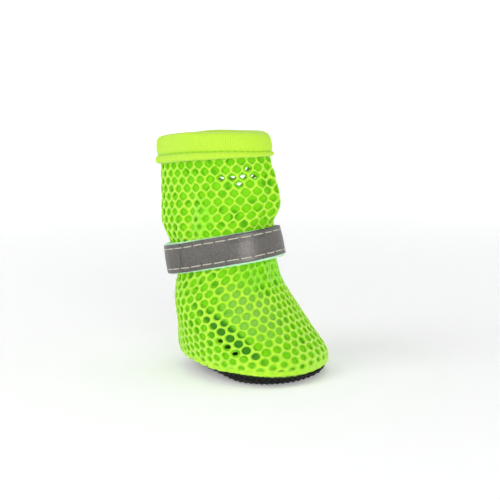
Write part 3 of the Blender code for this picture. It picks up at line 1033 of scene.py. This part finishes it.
def build_sole():
    """Egg-shaped textile with a turned-up edge, and a dome for each dot."""
    angle = np.linspace(0, 2 * math.pi, 144, endpoint=False)
    top = SOLE_THICKNESS
    turn = edge_turn(angle)
    # Share of the turned-up edge's width in from the edge, and height: under, round, and over.
    profile = [(share, DOT_HEIGHT) for share in (1.3, 1.0, 0.85, 0.7, 0.5, 0.3)]
    profile += [(0.14, DOT_HEIGHT + 0.05), (0.04, 0.28 * top + 0.1), (0.0, 0.5 * top + 0.1)]
    profile += [(0.04, 0.8 * top), (0.15, 0.97 * top)]
    profile += [(share, top) for share in (0.3, 0.6, 1.0, 1.3)]
    rings = [sole_face(angle, share * turn, lift) for share, lift in profile]
    verts, faces = loft(rings, closed=False)
    close_ends(verts, faces, len(angle))
    dents = [0.0] * len(verts)
    for line in range(-13, 14):
        for number in range(-14, 15):
            x = SOLE_SHIFT + (number + 0.5 * (line % 2)) * DOT_PITCH
            y = line * DOT_ROW
            inset = sole_inset(x, y)
            if inset < DOT_MARGIN:
                continue
            at = math.acos((x - SOLE_SHIFT) / (SOLE_LENGTH / 2 - inset)) * (1 if y >= 0 else -1)
            add_dot(verts, faces, dents, *sole_underside(at, inset))
    # One more row of dots runs round the edge.
    edge_run = np.linspace(0, 2 * math.pi, 1441)
    path = sole_face(edge_run, 0.0, 0.0)
    lengths = np.concatenate([[0], np.cumsum(np.linalg.norm(np.diff(path, axis=0), axis=1))])
    count = round(lengths[-1] / DOT_PITCH)
    for number in range(count):
        at = np.interp(lengths[-1] * number / count, lengths, edge_run)
        ahead = sole_face(at + 0.01, 0.0, 0.0) - sole_face(at - 0.01, 0.0, 0.0)
        outward = np.cross(ahead, (0.0, 0.0, 1.0))
        outward /= np.linalg.norm(outward)
        middle = sole_face(at, 0.0, 0.55 * SOLE_THICKNESS)
        add_dot(verts, faces, dents, middle, outward * 0.96 + (0, 0, -0.28))
    return make_piece("dotted_sole", verts, faces, dents)


def dotted_textile():
    """Black weave between glossy rubber dots."""
    finish = Finish("black_dotted_textile", Specular_IOR_Level=0.25)
    at = finish.place()
    dot = finish.attribute("dent")
    weave = finish.noise(at, 2.4, 2.0)
    cloth = finish.mix((weave * 1.8 - 0.5).held(), paint(4, 4, 4), paint(19, 18, 16))
    finish.dress(Base_Color=finish.mix(dot, cloth, paint(11, 10, 9)))
    finish.dress(Roughness=0.85 - dot * 0.5)
    finish.bump(weave, 0.6, 0.0003)
    return finish


sole = build_sole()
dotted_textile().on(sole)
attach(sole, "root")
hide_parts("sole")

# ----------------------------------------------------------------------------------------
# Studio: a plain pale floor that curves up all round like a bowl, three soft lights, and a
# camera at the photograph's viewing angle.
scene = bpy.context.scene
FLOOR_FLAT, FLOOR_CURVE, FLOOR_TOP = 800, 400, 700


def build_floor():
    """Pale bowl: a flat floor, raised all round."""
    turn = np.linspace(0, 2 * math.pi, 96, endpoint=False)
    path = [(FLOOR_FLAT, 0)]
    for bend in np.linspace(0.1, math.pi / 2, 14):
        away = FLOOR_FLAT + FLOOR_CURVE * math.sin(bend)
        path.append((away, FLOOR_CURVE - FLOOR_CURVE * math.cos(bend)))
    path.append((FLOOR_FLAT + FLOOR_CURVE, FLOOR_TOP))
    rings = [
        np.stack([away * np.cos(turn), away * np.sin(turn), 0 * turn + up], axis=-1)
        for away, up in path
    ]
    verts, faces = loft(rings, closed=False)
    faces.append(tuple(range(len(turn))))
    return make_piece("floor", verts, faces)


floor = build_floor()
# The floor glows a little, and more from the boot outwards, so that it stays white all over.
pale = Finish("pale_paper", Roughness=0.9, Specular_IOR_Level=0.1, Emission_Strength=0.46)
at = pale.place()
x, y, _ = pale.axes(at)
far_away = ((x * x + y * y) / 600.0**2).held()
white = pale.mix(pale.noise(at, 0.004), paint(240, 240, 240), paint(246, 246, 246))
glow = pale.mix(far_away, paint(176, 176, 176), paint(255, 255, 255))
pale.dress(Base_Color=white, Emission_Color=glow)
pale.on(floor)

world = bpy.data.worlds.new("studio")
scene.world = world
world.use_nodes = True
sky = world.node_tree.nodes["Background"]
sky.inputs["Color"].default_value = (0.94, 0.97, 1.0, 1.0)
sky.inputs["Strength"].default_value = 0.17

BOOT_MIDDLE = Vector((0, 0, 0.045))


def soft_light(name, place, size, power):
    """Square soft box aimed at the boot's middle."""
    lamp = bpy.data.lights.new(name, "AREA")
    lamp.size, lamp.energy = size, power
    light = bpy.data.objects.new(name, lamp)
    scene.collection.objects.link(light)
    light.location = place
    light.rotation_euler = (BOOT_MIDDLE - Vector(place)).to_track_quat("-Z", "Y").to_euler()


soft_light("key_light", (-0.35, -0.55, 0.65), 0.45, 2.2)
soft_light("front_light", (0.61, -0.62, 0.26), 0.38, 2.4)
soft_light("top_light", (0.0, 0.1, 0.9), 0.6, 1.7)

# The camera as fitted to the photograph, in its pixels, where the boot's middle is seen at
# column 249 and row 250.5.
CAMERA_TURN, CAMERA_TILT, CAMERA_DISTANCE = math.radians(30), math.radians(8.8), 0.444
PHOTO_SIZE, FOCAL_PIXELS, SENSOR = 500, 1200, 36
SEEN_COLUMN, SEEN_ROW = 249, 250.5
back = Vector((
    math.sin(CAMERA_TURN) * math.cos(CAMERA_TILT),
    -math.cos(CAMERA_TURN) * math.cos(CAMERA_TILT),
    math.sin(CAMERA_TILT),
))
right = Vector((math.cos(CAMERA_TURN), math.sin(CAMERA_TURN), 0))
lens = bpy.data.cameras.new("camera")
lens.sensor_width = SENSOR
lens.lens = SENSOR * FOCAL_PIXELS / PHOTO_SIZE
camera = bpy.data.objects.new("camera", lens)
scene.collection.objects.link(camera)
pixel = CAMERA_DISTANCE / FOCAL_PIXELS
camera.location = BOOT_MIDDLE + back * CAMERA_DISTANCE
camera.location += right * pixel * (PHOTO_SIZE / 2 - SEEN_COLUMN)
camera.location -= back.cross(right) * pixel * (PHOTO_SIZE / 2 - SEEN_ROW)
camera.rotation_euler = back.to_track_quat("Z", "Y").to_euler()
scene.camera = camera
scene.view_settings.view_transform = "Standard"
